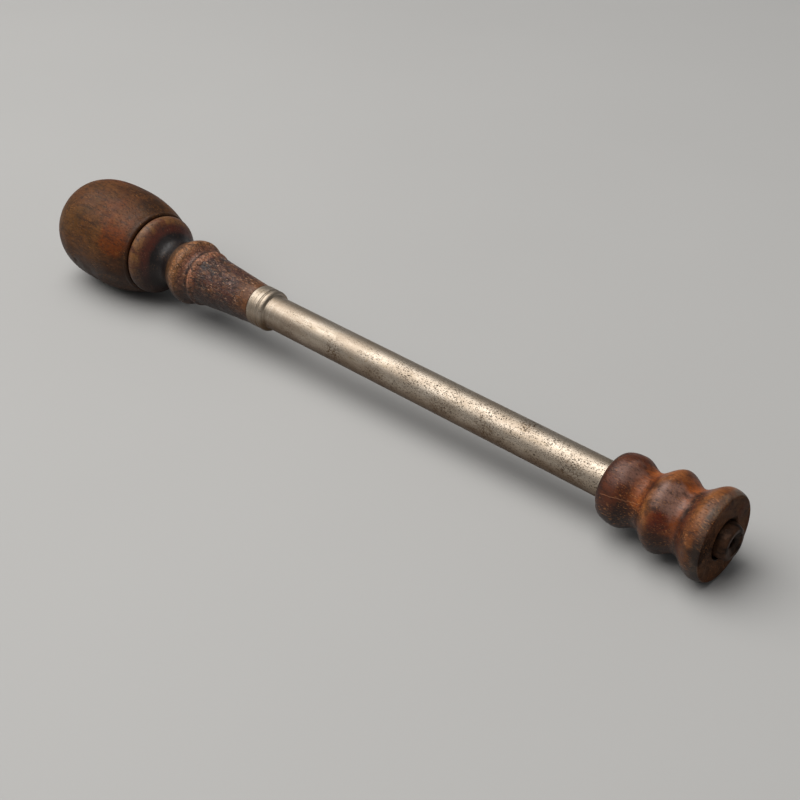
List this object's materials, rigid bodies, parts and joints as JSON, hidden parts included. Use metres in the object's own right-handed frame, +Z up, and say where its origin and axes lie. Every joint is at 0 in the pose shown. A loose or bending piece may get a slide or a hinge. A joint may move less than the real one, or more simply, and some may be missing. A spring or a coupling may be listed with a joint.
{
  "type": "ring mandrel",
  "caption": "Hand-held ring mandrel: parallel metal shaft with a swivelling wooden palm knob, turned neck and ferrule, and a turned wooden spool that turns and slides off the end.",
  "frame": {"origin": "centre of the bounding box's base, on the surface the tool lies on", "axes": "+X along the tool from the knob to the spool, +Y across it, +Z up from the surface it lies on"},
  "size_m": [0.399, 0.0522, 0.0522],
  "materials": {
    "knob_wood": "satin",
    "neck_wood": "worn dark varnish",
    "spool_wood": "satin",
    "nickel": "worn and pitted",
    "steel": "machined",
    "iron": "brown patina",
    "brass": "dull",
    "leather": "compressed"
  },
  "bodies": {
    "shaft": {"neck": "neck_wood", "ferrule": "nickel", "ferrule_nail": "brass", "mandrel_tube": "nickel", "rear_plug": "steel", "spindle": "steel", "head_washer": "steel", "seam_washer": "leather", "tip": "iron", "tip_pin": "steel"},
    "palm_knob": {"knob": "knob_wood", "knob_plate": "brass", "plate_screw_1": "steel", "plate_screw_2": "steel", "plate_screw_3": "steel"},
    "liner": {"spool_liner": "brass"},
    "spool": {"spool": "spool_wood"}
  },
  "joints": [
    {"name": "knob_swivel", "type": "hinge", "parent": "shaft", "child": "palm_knob", "pos_m": [-0.13668, 0, 0.0255], "axis": [0.9998, 0, -0.0202], "continuous": true},
    {"name": "spool_slide", "type": "slide", "parent": "shaft", "child": "liner", "axis": [0.9998, 0, -0.0202], "range_m": [-0.19, 0.058]},
    {"name": "spool_turn", "type": "hinge", "parent": "liner", "child": "spool", "pos_m": [0.19495, 0, 0.01879], "axis": [0.9998, 0, -0.0202], "continuous": true}
  ]
}
